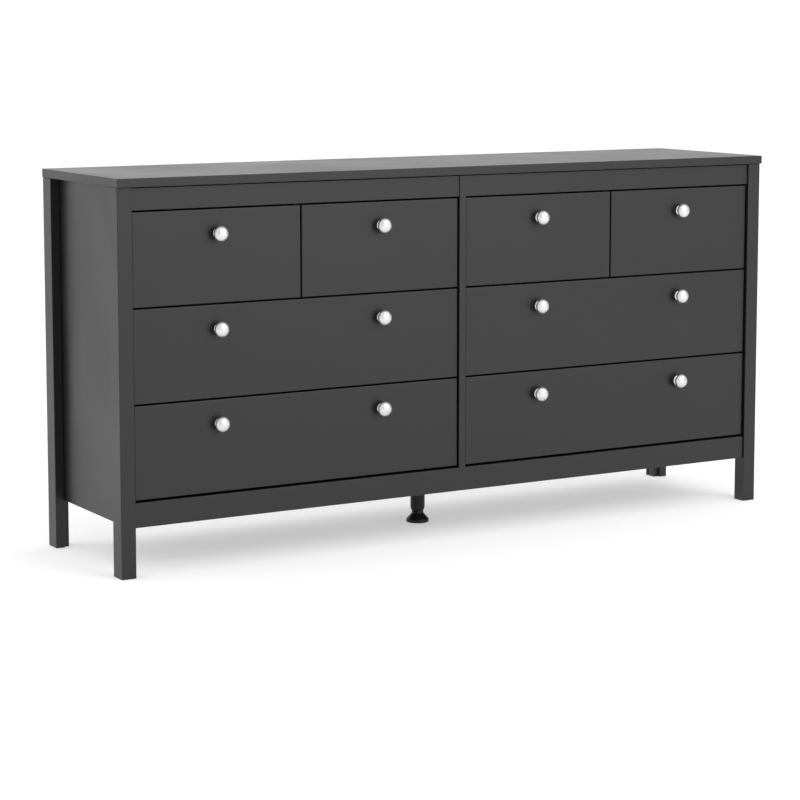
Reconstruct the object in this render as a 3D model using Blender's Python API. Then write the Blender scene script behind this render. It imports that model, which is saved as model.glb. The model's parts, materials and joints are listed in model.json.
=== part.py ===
"""A long, low bedroom dresser: four small drawers over four wide ones, in two bays.

The carcass is board on four full-height square legs. The legs stand proud of the rails and
of the drawer fronts, the side panels sit back in rebates of the legs, and a screw foot
carries the middle. Units are metres. X runs along the dresser, the front faces -Y, +Z is up.
The origin is on the floor, at the centre of the box that holds the whole dresser.
"""

import math

import bmesh
import bpy

MM = 0.001

# Whole dresser
TOP_WIDTH = 1594 * MM
TOP_DEPTH = 384 * MM
HEIGHT = 797 * MM
BOARD = 16 * MM              # rails, partition, dividers and drawer fronts
TOP_THICKNESS = 18 * MM
HARDBOARD = 3 * MM           # back panels and drawer bottoms
JOINT_GAP = 0.3 * MM         # left between boards that meet
MERGE_DISTANCE = 0.02 * MM   # closer points of a turned piece become one

# Legs, and what stands behind their front faces
LEG_WIDTH = 32 * MM
LEG_DEPTH = 40 * MM
LEGS_OUTER_WIDTH = 1592 * MM
LEGS_OUTER_DEPTH = 377 * MM
TOP_OVERHANG_BACK = 1 * MM
REBATE_DEPTH = 7 * MM        # how far the side panel enters each leg
SIDE_RECESS = 20 * MM        # side panel's face behind the legs' outer faces
FRONT_RECESS = 7 * MM        # drawer fronts behind the legs' front faces
RAIL_RECESS = 4.3 * MM       # front rails behind them
PARTITION_RECESS = 2.5 * MM  # the partition's front edge behind them
BACK_RECESS = 8 * MM         # back panel's rear face inside the legs' rear faces
BACK_GROOVE = 6 * MM         # how far the back panel enters each rear leg

# Rails
CARCASS_BOTTOM = 101 * MM
BOTTOM_RAIL_HEIGHT = 50 * MM
TOP_RAIL_HEIGHT = 46 * MM
REAR_TOP_RAIL_HEIGHT = 60 * MM
BOTTOM_PANEL_LOW = 105 * MM

# Drawer fronts
ROWS = 3
FRONT_HEIGHT = 188.8 * MM
ROW_GAP = 3.6 * MM
LOWEST_FRONT = 155.8 * MM    # underside of the bottom row's fronts
FRONT_SIDE_GAP = 2.6 * MM    # between a front and the leg or partition beside it
FRONT_EDGE = 0.8 * MM        # chamfer round fronts, top and legs

# Drawer boxes, shelf and dividers
RUNNER_SPACE = 12.5 * MM
WRAP_THICKNESS = 12 * MM
WRAP_HEIGHT = 120 * MM
WRAP_LENGTH = 310 * MM
WRAP_LIFT = 20 * MM          # wrap's lower edge above the front's lower edge
BOTTOM_LIFT = 12 * MM        # drawer bottom above the wrap's lower edge
BOTTOM_GROOVE = 6 * MM
SHELF_THICKNESS = 12 * MM
INNER_SETBACK = 4 * MM       # shelf and dividers behind the back of the fronts

# Knobs, with heights measured out from the face of the drawer front
KNOB_PROJECTION = 25 * MM
KNOB_RIM_HEIGHT = 14 * MM    # where the domed head is widest
KNOB_UNDERSIDE_HEIGHT = 10.5 * MM
KNOB_NECK_HIGH = 7.5 * MM
KNOB_NECK_LOW = 5 * MM
KNOB_BASE_HEIGHT = 1.75 * MM
KNOB_HEAD_RADIUS = 16 * MM
KNOB_UNDERSIDE_RADIUS = 13.44 * MM
KNOB_NECK_RADIUS = 6.9 * MM
KNOB_BASE_RADIUS = 11 * MM
KNOB_DROP = 49 * MM          # knob's axis below the top edge of its front
KNOB_STEPS = 20
DOME_STEPS = 5

# Middle support
SUPPORT_TUBE_RADIUS = 16 * MM
SUPPORT_TUBE_WALL = 2.5 * MM
SUPPORT_TUBE_BOTTOM = 27 * MM
SUPPORT_TUBE_TAPER = 6 * MM  # height of the tube's tapered end
SUPPORT_TUBE_END_RADIUS = 14.3 * MM
SUPPORT_FLANGE_RADIUS = 32 * MM
SUPPORT_FLANGE_THICKNESS = 3 * MM
SUPPORT_STEM_CLEARANCE = 0.5 * MM
SUPPORT_STEM_TOP = 62 * MM
SUPPORT_FOOT_RADIUS = 25 * MM
SUPPORT_FOOT_HEIGHT = 20 * MM
SUPPORT_RIM_HEIGHT = 7 * MM
SUPPORT_RIM_EDGE = 1.2 * MM
SUPPORT_STEPS = 28

# Planes worked out from the sizes above
KNOB_NOSE_AHEAD = KNOB_PROJECTION - FRONT_RECESS
BOX_DEPTH = KNOB_NOSE_AHEAD + LEGS_OUTER_DEPTH + TOP_OVERHANG_BACK
LEG_FRONT = -BOX_DEPTH / 2 + KNOB_NOSE_AHEAD
LEG_BACK = LEG_FRONT + LEGS_OUTER_DEPTH
FRONT_FACE = LEG_FRONT + FRONT_RECESS
FRONT_BACK = FRONT_FACE + BOARD
RAIL_FACE = LEG_FRONT + RAIL_RECESS
RAIL_BACK = RAIL_FACE + BOARD
PARTITION_FRONT = LEG_FRONT + PARTITION_RECESS
UNDER_TOP = HEIGHT - TOP_THICKNESS
LEG_OUTER = LEGS_OUTER_WIDTH / 2
LEG_INNER = LEG_OUTER - LEG_WIDTH
PARTITION_FACE = BOARD / 2
BACK_FRONT_FACE = LEG_BACK - BACK_RECESS - HARDBOARD
REAR_RAIL_FACE = BACK_FRONT_FACE - JOINT_GAP - BOARD
BOTTOM_RAIL_TOP = CARCASS_BOTTOM + BOTTOM_RAIL_HEIGHT
BOTTOM_PANEL_TOP = BOTTOM_PANEL_LOW + BOARD
BAY_CENTRE = (LEG_INNER + PARTITION_FACE) / 2
WRAP_FRONT = FRONT_BACK + JOINT_GAP
SMALL_ROW = ROWS - 1


def start_empty():
    """Removes whatever the open file holds, so that only the dresser is left."""
    for old in list(bpy.data.objects):
        bpy.data.objects.remove(old)
    for old in list(bpy.data.materials):
        bpy.data.materials.remove(old)


def finish_material(name, colour, roughness, metallic=0.0):
    """One plain finish."""
    material = bpy.data.materials.new(name)
    material.use_nodes = True
    shader = material.node_tree.nodes["Principled BSDF"]
    shader.inputs["Base Color"].default_value = (*colour, 1.0)
    shader.inputs["Roughness"].default_value = roughness
    shader.inputs["Metallic"].default_value = metallic
    material.diffuse_color = (*colour, 1.0)
    return material


def place(name, mesh, material, centre, parent=None):
    """Links one mesh as one named piece, with its origin at centre, hung on parent if given."""
    mesh.materials.append(material)
    piece = bpy.data.objects.new(name, mesh)
    bpy.context.scene.collection.objects.link(piece)
    piece.location = centre
    if parent is not None:
        piece.parent = parent
        piece.location = [c - p for c, p in zip(centre, parent.location)]
    return piece


def soften(shape, width):
    """A narrow chamfer on every outward edge, as on a foiled board."""
    outward = [edge for edge in shape.edges if edge.is_convex]
    bmesh.ops.bevel(shape, geom=outward, offset=width, segments=1, affect="EDGES")


def board(name, low, high, material, edge=0.0, parent=None):
    """A rectangular board between two corners."""
    centre = [(a + b) / 2 for a, b in zip(low, high)]
    size = [b - a for a, b in zip(low, high)]
    shape = bmesh.new()
    bmesh.ops.create_cube(shape, size=1.0)
    bmesh.ops.scale(shape, vec=size, verts=shape.verts)
    if edge:
        soften(shape, edge)
    mesh = bpy.data.meshes.new(name)
    shape.to_mesh(mesh)
    shape.free()
    return place(name, mesh, material, centre, parent)


def prism(name, outline, low, high, along, material, edge=0.0, parent=None):
    """An outline pushed from low to high along axis 0 (X) or 2 (Z).

    The outline's two numbers are the other two axes, in X, Y, Z order.
    """
    others = [axis for axis in range(3) if axis != along]
    centre = [0.0, 0.0, 0.0]
    centre[along] = (low + high) / 2
    for place_in_outline, axis in enumerate(others):
        values = [point[place_in_outline] for point in outline]
        centre[axis] = (min(values) + max(values)) / 2
    shape = bmesh.new()
    corners = []
    for point in outline:
        corner = [0.0, 0.0, 0.0]
        corner[along] = low - centre[along]
        corner[others[0]] = point[0] - centre[others[0]]
        corner[others[1]] = point[1] - centre[others[1]]
        corners.append(shape.verts.new(corner))
    cap = shape.faces.new(corners)
    pushed = bmesh.ops.extrude_face_region(shape, geom=[cap])
    moved = [item for item in pushed["geom"] if isinstance(item, bmesh.types.BMVert)]
    step = [0.0, 0.0, 0.0]
    step[along] = high - low
    bmesh.ops.translate(shape, vec=step, verts=moved)
    bmesh.ops.recalc_face_normals(shape, faces=shape.faces)
    if edge:
        soften(shape, edge)
    mesh = bpy.data.meshes.new(name)
    shape.to_mesh(mesh)
    shape.free()
    return place(name, mesh, material, centre, parent)


def turned(name, profile, steps, material, centre, tilt=0.0, parent=None):
    """A turned piece. The profile is (radius, height) from top to bottom, closed on the axis."""
    mesh = bpy.data.meshes.new(name)
    points = [(radius, 0.0, height) for radius, height in profile]
    mesh.from_pydata(points, [(i, i + 1) for i in range(len(points) - 1)], [])
    piece = place(name, mesh, material, centre, parent)
    piece.rotation_euler = (tilt, 0.0, 0.0)
    screw = piece.modifiers.new("turn", "SCREW")
    screw.steps = steps
    screw.render_steps = steps
    screw.use_merge_vertices = True
    screw.merge_threshold = MERGE_DISTANCE
    screw.use_smooth_shade = True
    return piece


def cut(piece, cutter):
    """Takes the cutter's shape out of a piece."""
    boolean = piece.modifiers.new("groove", "BOOLEAN")
    boolean.operation = "DIFFERENCE"
    boolean.solver = "EXACT"
    boolean.object = cutter


def leg_outline(side, rear):
    """A leg's section: rebated where the side panel enters, and grooved at the rear for the back."""
    outer = side * LEG_OUTER
    inner = side * LEG_INNER
    panel_face = side * (LEG_OUTER - SIDE_RECESS)
    if not rear:
        front, back = LEG_FRONT, LEG_FRONT + LEG_DEPTH
        return [
            (outer, front),
            (inner, front),
            (inner, back - REBATE_DEPTH),
            (panel_face, back - REBATE_DEPTH),
            (panel_face, back),
            (outer, back),
        ]
    front, back = LEG_BACK - LEG_DEPTH, LEG_BACK
    groove_front = BACK_FRONT_FACE - JOINT_GAP
    groove_back = BACK_FRONT_FACE + HARDBOARD + JOINT_GAP
    groove_floor = side * (LEG_INNER + BACK_GROOVE)
    return [
        (outer, front),
        (panel_face, front),
        (panel_face, front + REBATE_DEPTH),
        (inner, front + REBATE_DEPTH),
        (inner, groove_front),
        (groove_floor, groove_front),
        (groove_floor, groove_back),
        (inner, groove_back),
        (inner, back),
        (outer, back),
    ]


def build_legs(finish):
    for side, side_name in ((-1, "left"), (1, "right")):
        for rear, end_name in ((False, "front"), (True, "rear")):
            name = f"leg_{end_name}_{side_name}"
            outline = leg_outline(side, rear)
            prism(name, outline, 0.0, UNDER_TOP - JOINT_GAP, 2, finish, FRONT_EDGE)


def build_side_panels(finish):
    front = LEG_FRONT + LEG_DEPTH - REBATE_DEPTH + JOINT_GAP
    back = LEG_BACK - LEG_DEPTH + REBATE_DEPTH - JOINT_GAP
    outer = LEG_OUTER - SIDE_RECESS - JOINT_GAP
    for side, side_name in ((-1, "left"), (1, "right")):
        x_low, x_high = sorted((side * outer, side * LEG_INNER))
        low = (x_low, front, CARCASS_BOTTOM)
        high = (x_high, back, UNDER_TOP - JOINT_GAP)
        board(f"side_panel_{side_name}", low, high, finish)


def build_partition(finish):
    """The centre partition, notched round the rails, with its front edge just behind the legs'."""
    rail_back = RAIL_BACK + JOINT_GAP
    rail_top = BOTTOM_RAIL_TOP + JOINT_GAP
    rear_rail = REAR_RAIL_FACE - JOINT_GAP
    top_notch = UNDER_TOP - REAR_TOP_RAIL_HEIGHT - 2 * JOINT_GAP
    foot = BOTTOM_PANEL_TOP + JOINT_GAP
    ceiling = UNDER_TOP - JOINT_GAP
    back = BACK_FRONT_FACE - JOINT_GAP
    outline = [
        (PARTITION_FRONT, ceiling),
        (PARTITION_FRONT, rail_top),
        (rail_back, rail_top),
        (rail_back, foot),
        (rear_rail, foot),
        (rear_rail, rail_top),
        (back, rail_top),
        (back, top_notch),
        (rear_rail, top_notch),
        (rear_rail, ceiling),
    ]
    prism("center_partition", outline, -PARTITION_FACE, PARTITION_FACE, 0, finish)


def build_rails(finish):
    span = LEG_INNER - JOINT_GAP
    ceiling = UNDER_TOP - JOINT_GAP
    top_rail_low = UNDER_TOP - TOP_RAIL_HEIGHT
    for side, side_name in ((-1, "left"), (1, "right")):
        x_low, x_high = sorted((side * span, side * (PARTITION_FACE + JOINT_GAP)))
        low = (x_low, RAIL_FACE, top_rail_low)
        board(f"top_rail_{side_name}", low, (x_high, RAIL_BACK, ceiling), finish)
    low = (-span, RAIL_FACE, CARCASS_BOTTOM)
    board("bottom_rail_front", low, (span, RAIL_BACK, BOTTOM_RAIL_TOP), finish)
    rear_face = REAR_RAIL_FACE
    low = (-span, rear_face, CARCASS_BOTTOM)
    board("bottom_rail_rear", low, (span, rear_face + BOARD, BOTTOM_RAIL_TOP), finish)
    low = (-span, rear_face, ceiling - REAR_TOP_RAIL_HEIGHT)
    board("top_rail_rear", low, (span, rear_face + BOARD, ceiling), finish)


def build_bottom(finish):
    """One board between the bottom rails, which the partition stands on and the screw foot carries."""
    span = LEG_INNER - JOINT_GAP
    low = (-span, RAIL_BACK + JOINT_GAP, BOTTOM_PANEL_LOW)
    high = (span, REAR_RAIL_FACE - JOINT_GAP, BOTTOM_PANEL_TOP)
    board("bottom_panel", low, high, finish)


def build_backs(finish):
    """Two hardboard backs, which meet behind the partition and enter the rear legs' grooves."""
    reach = LEG_INNER + BACK_GROOVE - JOINT_GAP
    for side, side_name in ((-1, "left"), (1, "right")):
        x_low, x_high = sorted((side * reach, side * JOINT_GAP / 2))
        low = (x_low, BACK_FRONT_FACE, CARCASS_BOTTOM)
        high = (x_high, BACK_FRONT_FACE + HARDBOARD, UNDER_TOP - JOINT_GAP)
        board(f"back_panel_{side_name}", low, high, finish)


def row_bottom(row):
    """The underside of the drawer fronts in a row, counted from the floor up."""
    return LOWEST_FRONT + row * (FRONT_HEIGHT + ROW_GAP)


def build_dividers(finish):
    """A shelf under each pair of small drawers, and the upright divider that stands on it."""
    front = FRONT_BACK + INNER_SETBACK
    back = REAR_RAIL_FACE - JOINT_GAP
    shelf_top = row_bottom(SMALL_ROW) - ROW_GAP
    shelf_low = shelf_top - SHELF_THICKNESS
    for side, side_name in ((-1, "left"), (1, "right")):
        ends = (side * (LEG_INNER - JOINT_GAP), side * (PARTITION_FACE + JOINT_GAP))
        x_low, x_high = sorted(ends)
        low = (x_low, front, shelf_low)
        board(f"divider_shelf_{side_name}", low, (x_high, back, shelf_top), finish)
        centre = side * BAY_CENTRE
        low = (centre - BOARD / 2, front, shelf_top + JOINT_GAP)
        high = (centre + BOARD / 2, back, UNDER_TOP - JOINT_GAP)
        board(f"divider_{side_name}", low, high, finish)


def build_top(finish):
    top_back = LEG_BACK + TOP_OVERHANG_BACK
    low = (-TOP_WIDTH / 2, top_back - TOP_DEPTH, UNDER_TOP)
    board("top_panel", low, (TOP_WIDTH / 2, top_back, HEIGHT), finish, FRONT_EDGE)


def build_support(finish):
    """The middle support: a flanged tube under the bottom panel, and the screw foot in it."""
    bore = SUPPORT_TUBE_RADIUS - SUPPORT_TUBE_WALL
    tube_top = BOTTOM_PANEL_LOW - JOINT_GAP
    under_flange = tube_top - SUPPORT_FLANGE_THICKNESS
    centre = (0.0, (LEG_FRONT + LEG_BACK) / 2, 0.0)
    tube = [
        (0.0, tube_top),
        (SUPPORT_FLANGE_RADIUS, tube_top),
        (SUPPORT_FLANGE_RADIUS, under_flange),
        (SUPPORT_TUBE_RADIUS, under_flange),
        (SUPPORT_TUBE_RADIUS, SUPPORT_TUBE_BOTTOM + SUPPORT_TUBE_TAPER),
        (SUPPORT_TUBE_END_RADIUS, SUPPORT_TUBE_BOTTOM),
        (bore, SUPPORT_TUBE_BOTTOM),
        (bore, under_flange),
        (0.0, under_flange),
    ]
    turned("support_tube", tube, SUPPORT_STEPS, finish, centre)
    stem = bore - SUPPORT_STEM_CLEARANCE
    foot = [
        (0.0, SUPPORT_STEM_TOP),
        (stem, SUPPORT_STEM_TOP),
        (stem, SUPPORT_FOOT_HEIGHT),
        (SUPPORT_FOOT_RADIUS - SUPPORT_RIM_EDGE, SUPPORT_RIM_HEIGHT + SUPPORT_RIM_EDGE),
        (SUPPORT_FOOT_RADIUS, SUPPORT_RIM_HEIGHT - SUPPORT_RIM_EDGE),
        (SUPPORT_FOOT_RADIUS, SUPPORT_RIM_EDGE),
        (SUPPORT_FOOT_RADIUS - SUPPORT_RIM_EDGE, 0.0),
        (0.0, 0.0),
    ]
    joint = bpy.data.objects.new("support_foot_joint", None)
    bpy.context.scene.collection.objects.link(joint)
    joint.location = centre
    turned("support_foot", foot, SUPPORT_STEPS, finish, centre, parent=joint)


def knob_profile():
    """A knob's outline from the middle of its domed head to the middle of its foot."""
    points = [(0.0, KNOB_PROJECTION)]
    for step in range(1, DOME_STEPS + 1):
        angle = math.radians(90) * step / DOME_STEPS
        height = KNOB_RIM_HEIGHT + (KNOB_PROJECTION - KNOB_RIM_HEIGHT) * math.cos(angle)
        points.append((KNOB_HEAD_RADIUS * math.sin(angle), height))
    points += [
        (KNOB_UNDERSIDE_RADIUS, KNOB_UNDERSIDE_HEIGHT),
        (KNOB_NECK_RADIUS, KNOB_NECK_HIGH),
        (KNOB_NECK_RADIUS, KNOB_NECK_LOW),
        (KNOB_BASE_RADIUS, KNOB_BASE_HEIGHT),
        (KNOB_BASE_RADIUS, JOINT_GAP),
        (0.0, JOINT_GAP),
    ]
    return points


def build_drawer(kind, label, bay_low, bay_high, front_low, front_high, row, knobs, finishes):
    """One drawer: front, folded wrap of two sides and a back, bottom, and knobs.

    bay_low and bay_high are the faces that its runners are fixed to; front_low and
    front_high are the ends of its front.
    """
    bottom_z = row_bottom(row)
    centre_x = (front_low + front_high) / 2
    joint = bpy.data.objects.new(f"{kind}_drawer_{label}_joint", None)
    bpy.context.scene.collection.objects.link(joint)
    joint.location = (centre_x, FRONT_FACE, bottom_z + FRONT_HEIGHT / 2)

    low = (front_low, FRONT_FACE, bottom_z)
    high = (front_high, FRONT_BACK, bottom_z + FRONT_HEIGHT)
    front = board(f"{kind}_front_{label}", low, high, finishes["black"], FRONT_EDGE, joint)

    x_low, x_high = bay_low + RUNNER_SPACE, bay_high - RUNNER_SPACE
    wrap_back = WRAP_FRONT + WRAP_LENGTH
    inner_back = wrap_back - WRAP_THICKNESS
    wrap_low = bottom_z + WRAP_LIFT
    outline = [
        (x_low, WRAP_FRONT),
        (x_low + WRAP_THICKNESS, WRAP_FRONT),
        (x_low + WRAP_THICKNESS, inner_back),
        (x_high - WRAP_THICKNESS, inner_back),
        (x_high - WRAP_THICKNESS, WRAP_FRONT),
        (x_high, WRAP_FRONT),
        (x_high, wrap_back),
        (x_low, wrap_back),
    ]
    name = f"{kind}_wrap_{label}"
    wrap = prism(name, outline, wrap_low, wrap_low + WRAP_HEIGHT, 2, finishes["wrap"], parent=joint)

    groove = WRAP_THICKNESS - BOTTOM_GROOVE
    groove_low = (x_low + groove, FRONT_BACK - BOTTOM_GROOVE, wrap_low + BOTTOM_LIFT)
    groove_high = (x_high - groove, wrap_back - groove, groove_low[2] + HARDBOARD + 2 * JOINT_GAP)
    cutter = board(f"{name}_cutter", groove_low, groove_high, finishes["bottom"], parent=joint)
    cutter.hide_render = True
    cutter.display_type = "WIRE"
    cut(front, cutter)
    cut(wrap, cutter)
    low = [value + JOINT_GAP for value in groove_low]
    high = [value - JOINT_GAP for value in groove_high]
    board(f"{kind}_bottom_{label}", low, high, finishes["bottom"], parent=joint)

    for suffix, knob_x in knobs:
        centre = (knob_x, FRONT_FACE, bottom_z + FRONT_HEIGHT - KNOB_DROP)
        name = f"{kind}_knob_{label}{suffix}"
        turned(name, knob_profile(), KNOB_STEPS, finishes["knob"], centre, math.radians(90), joint)


def build_drawers(finishes):
    """Two small drawers over two wide ones in each bay, with the knobs in line down the front."""
    outer_end = LEG_INNER - FRONT_SIDE_GAP
    inner_end = PARTITION_FACE + FRONT_SIDE_GAP
    split_low = BAY_CENTRE - ROW_GAP / 2
    split_high = BAY_CENTRE + ROW_GAP / 2
    outer_knob = (outer_end + split_high) / 2
    inner_knob = (inner_end + split_low) / 2
    for side, side_name in ((-1, "left"), (1, "right")):
        cells = [
            ("outer", (LEG_INNER, BAY_CENTRE + BOARD / 2), (outer_end, split_high), outer_knob),
            ("inner", (BAY_CENTRE - BOARD / 2, PARTITION_FACE), (split_low, inner_end), inner_knob),
        ]
        for cell, bay, ends, knob in cells:
            bay_low, bay_high = sorted(side * value for value in bay)
            front_low, front_high = sorted(side * value for value in ends)
            label = f"{side_name}_{cell}"
            knobs = [("", side * knob)]
            build_drawer(
                "small", label, bay_low, bay_high, front_low, front_high, SMALL_ROW, knobs, finishes
            )
        bay_low, bay_high = sorted((side * LEG_INNER, side * PARTITION_FACE))
        front_low, front_high = sorted((side * outer_end, side * inner_end))
        knobs = [("_outer", side * outer_knob), ("_inner", side * inner_knob)]
        for row, row_name in ((1, "upper"), (0, "lower")):
            label = f"{side_name}_{row_name}"
            build_drawer("wide", label, bay_low, bay_high, front_low, front_high, row, knobs, finishes)


def build_dresser():
    start_empty()
    finishes = {
        "black": finish_material("matt_black_foil", (0.045, 0.045, 0.047), 0.55),
        "wrap": finish_material("grey_drawer_foil", (0.16, 0.16, 0.165), 0.6),
        "bottom": finish_material("grey_hardboard", (0.20, 0.20, 0.205), 0.7),
        "back": finish_material("dark_back_board", (0.06, 0.055, 0.05), 0.75),
        "knob": finish_material("satin_chrome", (0.78, 0.78, 0.79), 0.28, 1.0),
        "plastic": finish_material("black_plastic", (0.02, 0.02, 0.021), 0.45),
    }
    build_legs(finishes["black"])
    build_side_panels(finishes["black"])
    build_partition(finishes["black"])
    build_rails(finishes["black"])
    build_bottom(finishes["black"])
    build_dividers(finishes["black"])
    build_backs(finishes["back"])
    build_top(finishes["black"])
    build_support(finishes["plastic"])
    build_drawers(finishes)


build_dresser()
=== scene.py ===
"""The looks of a long, low, matt black dresser with small drawers over wide ones.

The file follows the dresser as it is put together: legs, side panels, partition, rails,
shelves, backs, top, middle support, and then each drawer with its box, runners and knobs.
"""
import json
import math
import bpy
from mathutils import Matrix, Vector

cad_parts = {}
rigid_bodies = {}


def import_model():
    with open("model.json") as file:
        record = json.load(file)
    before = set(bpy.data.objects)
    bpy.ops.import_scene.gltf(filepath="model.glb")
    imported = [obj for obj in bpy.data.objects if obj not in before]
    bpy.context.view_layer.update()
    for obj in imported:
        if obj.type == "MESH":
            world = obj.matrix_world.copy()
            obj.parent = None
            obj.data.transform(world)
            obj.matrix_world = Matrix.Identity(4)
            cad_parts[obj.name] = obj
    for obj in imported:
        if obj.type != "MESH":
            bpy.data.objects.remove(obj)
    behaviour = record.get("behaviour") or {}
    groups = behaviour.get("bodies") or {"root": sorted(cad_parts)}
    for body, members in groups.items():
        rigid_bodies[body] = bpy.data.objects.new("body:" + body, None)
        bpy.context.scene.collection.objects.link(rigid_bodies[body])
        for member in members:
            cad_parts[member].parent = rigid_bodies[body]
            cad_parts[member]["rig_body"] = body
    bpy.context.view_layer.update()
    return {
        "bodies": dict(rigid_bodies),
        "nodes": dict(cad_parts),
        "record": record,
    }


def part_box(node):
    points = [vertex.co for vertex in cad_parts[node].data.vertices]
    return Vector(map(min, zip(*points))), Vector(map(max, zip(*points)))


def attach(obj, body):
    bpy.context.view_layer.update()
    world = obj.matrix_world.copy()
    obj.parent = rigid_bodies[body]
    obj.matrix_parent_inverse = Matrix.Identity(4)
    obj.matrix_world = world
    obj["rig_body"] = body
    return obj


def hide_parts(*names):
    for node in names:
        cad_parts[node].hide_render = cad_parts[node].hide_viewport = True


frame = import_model()
MM = 0.001

# ---------------------------------------------------------------- camera and studio
# A plain white studio: one large soft light high in front, a weaker one behind on the left,
# white surroundings, and a pale floor that runs on into them.
LENS = 107.7
SENSOR_WIDTH = 36.0
FARTHEST_SEEN = 100.0
CAMERA_PLACE = (-2.682, -4.461, 1.101)
CAMERA_TURN = 30.54          # degrees to the right of straight at the fronts
CAMERA_DIP = 6.74            # degrees below the horizon
CAMERA_SHIFT = -0.12
SKY_TURN = -24               # degrees; brightest behind the dresser, a little to its left
SKY_BRIGHT = 1.58
SKY_DIM = 0.95
SKY_SEEN = 1.05              # the plain white that the camera itself sees all round
FLOOR_SIZE = 40.0
FLOOR_MIDDLE = (0.0, 6.0, 0.0)
FLOOR_COLOUR = (0.65, 0.65, 0.65)
FLOOR_ROUGHNESS = 0.9
FLOOR_GLOW = 0.42            # the floor is a light table, so that shadows on it stay pale

scene = bpy.context.scene
scene.view_settings.view_transform = "Standard"
scene.view_settings.look = "None"

camera = bpy.data.objects.new("camera", bpy.data.cameras.new("camera"))
scene.collection.objects.link(camera)
camera.data.lens = LENS
camera.data.sensor_width = SENSOR_WIDTH
camera.data.shift_y = CAMERA_SHIFT
camera.data.clip_end = FARTHEST_SEEN
camera.location = CAMERA_PLACE
camera.rotation_euler = (math.radians(90 - CAMERA_DIP), 0.0, math.radians(-CAMERA_TURN))
scene.camera = camera


def soft_light(name, place, aim, size, power):
    """A square soft box at place, turned to shine at aim, which the camera doesn't see."""
    lamp = bpy.data.objects.new(name, bpy.data.lights.new(name, "AREA"))
    lamp.data.size = size
    lamp.data.energy = power
    lamp.location = place
    lamp.visible_camera = False
    lamp.rotation_euler = (Vector(aim) - Vector(place)).to_track_quat("-Z", "Y").to_euler()
    scene.collection.objects.link(lamp)


soft_light("key_light", place=(1.5, -3.9, 2.6), aim=(-0.5, 0.0, 0.4), size=3.0, power=110.0)
soft_light("left_light", place=(-4.5, 1.6, 2.6), aim=(-0.6, 0.0, 0.6), size=2.6, power=24.0)

# The surroundings' strength runs from dim in front to bright behind; only the camera sees plain white.
world = bpy.data.worlds.new("studio")
scene.world = world
world.use_nodes = True
sky = world.node_tree
sky.nodes.clear()
sky_place = sky.nodes.new("ShaderNodeTexCoord")
sky_turn = sky.nodes.new("ShaderNodeMapping")
sky_turn.vector_type = "POINT"
sky_turn.inputs["Rotation"].default_value = (0.0, 0.0, math.radians(SKY_TURN))
sky_split = sky.nodes.new("ShaderNodeSeparateXYZ")
sky_strength = sky.nodes.new("ShaderNodeMapRange")
sky_strength.inputs["From Min"].default_value = -1.0
sky_strength.inputs["To Min"].default_value = SKY_DIM
sky_strength.inputs["To Max"].default_value = SKY_BRIGHT
sky_light = sky.nodes.new("ShaderNodeBackground")
sky_seen = sky.nodes.new("ShaderNodeBackground")
sky_seen.inputs["Color"].default_value = (1.0, 1.0, 1.0, 1.0)
sky_seen.inputs["Strength"].default_value = SKY_SEEN
sky_ray = sky.nodes.new("ShaderNodeLightPath")
sky_mix = sky.nodes.new("ShaderNodeMixShader")
sky_out = sky.nodes.new("ShaderNodeOutputWorld")
for source, target in (
    (sky_place.outputs["Generated"], sky_turn.inputs["Vector"]),
    (sky_turn.outputs["Vector"], sky_split.inputs["Vector"]),
    (sky_split.outputs["Y"], sky_strength.inputs["Value"]),
    (sky_strength.outputs["Result"], sky_light.inputs["Strength"]),
    (sky_ray.outputs["Is Camera Ray"], sky_mix.inputs["Fac"]),
    (sky_light.outputs["Background"], sky_mix.inputs[1]),
    (sky_seen.outputs["Background"], sky_mix.inputs[2]),
    (sky_mix.outputs["Shader"], sky_out.inputs["Surface"]),
):
    sky.links.new(source, target)


def clear_selection():
    """Nothing selected, so that the next operator acts on its own new piece only."""
    bpy.ops.object.select_all(action="DESELECT")


def new_material(name, colour, roughness, metallic=0.0, specular=0.5):
    """A material with its Principled shader set; returns it with its nodes, links and shader."""
    material = bpy.data.materials.new(name)
    material.use_nodes = True
    nodes, links = material.node_tree.nodes, material.node_tree.links
    shader = nodes["Principled BSDF"]
    shader.inputs["Base Color"].default_value = (*colour, 1.0)
    shader.inputs["Roughness"].default_value = roughness
    shader.inputs["Metallic"].default_value = metallic
    shader.inputs["Specular IOR Level"].default_value = specular
    return material, nodes, links, shader


clear_selection()
bpy.ops.mesh.primitive_plane_add(size=FLOOR_SIZE, location=FLOOR_MIDDLE)
floor = bpy.context.object
floor.name = "floor"
floor_paint, _, _, shader = new_material("floor_paint", FLOOR_COLOUR, FLOOR_ROUGHNESS, specular=0.0)
shader.inputs["Emission Color"].default_value = (1.0, 1.0, 1.0, 1.0)
shader.inputs["Emission Strength"].default_value = FLOOR_GLOW
floor.data.materials.append(floor_paint)

# ---------------------------------------------------------------- legs
# Four posts of pressed wood, wrapped in matt black foil and run full height as the corners.
# Each is rebated for the side panel's edge, and the rear two are grooved for the back.
SIDE_RECESS = 20 * MM
REBATE_DEPTH = 7 * MM
BACK_GROOVE = 6 * MM
GROOVE_GAP = 0.3 * MM        # between a groove and the sheet in it
OVERCUT = 1 * MM             # how far a cutter passes the faces that it opens
LEG_ROUNDING = 1.2 * MM
ROUNDING_ANGLE = 40          # degrees; edges sharper than this are rounded
SQUARE = 0.9995              # least share of a normal along one axis on a face that lies square
FOIL_BLACK = (0.0055, 0.0055, 0.0057)
FOIL_ROUGHNESS = 0.39
DUST_GREY = (0.42, 0.41, 0.39)


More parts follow.
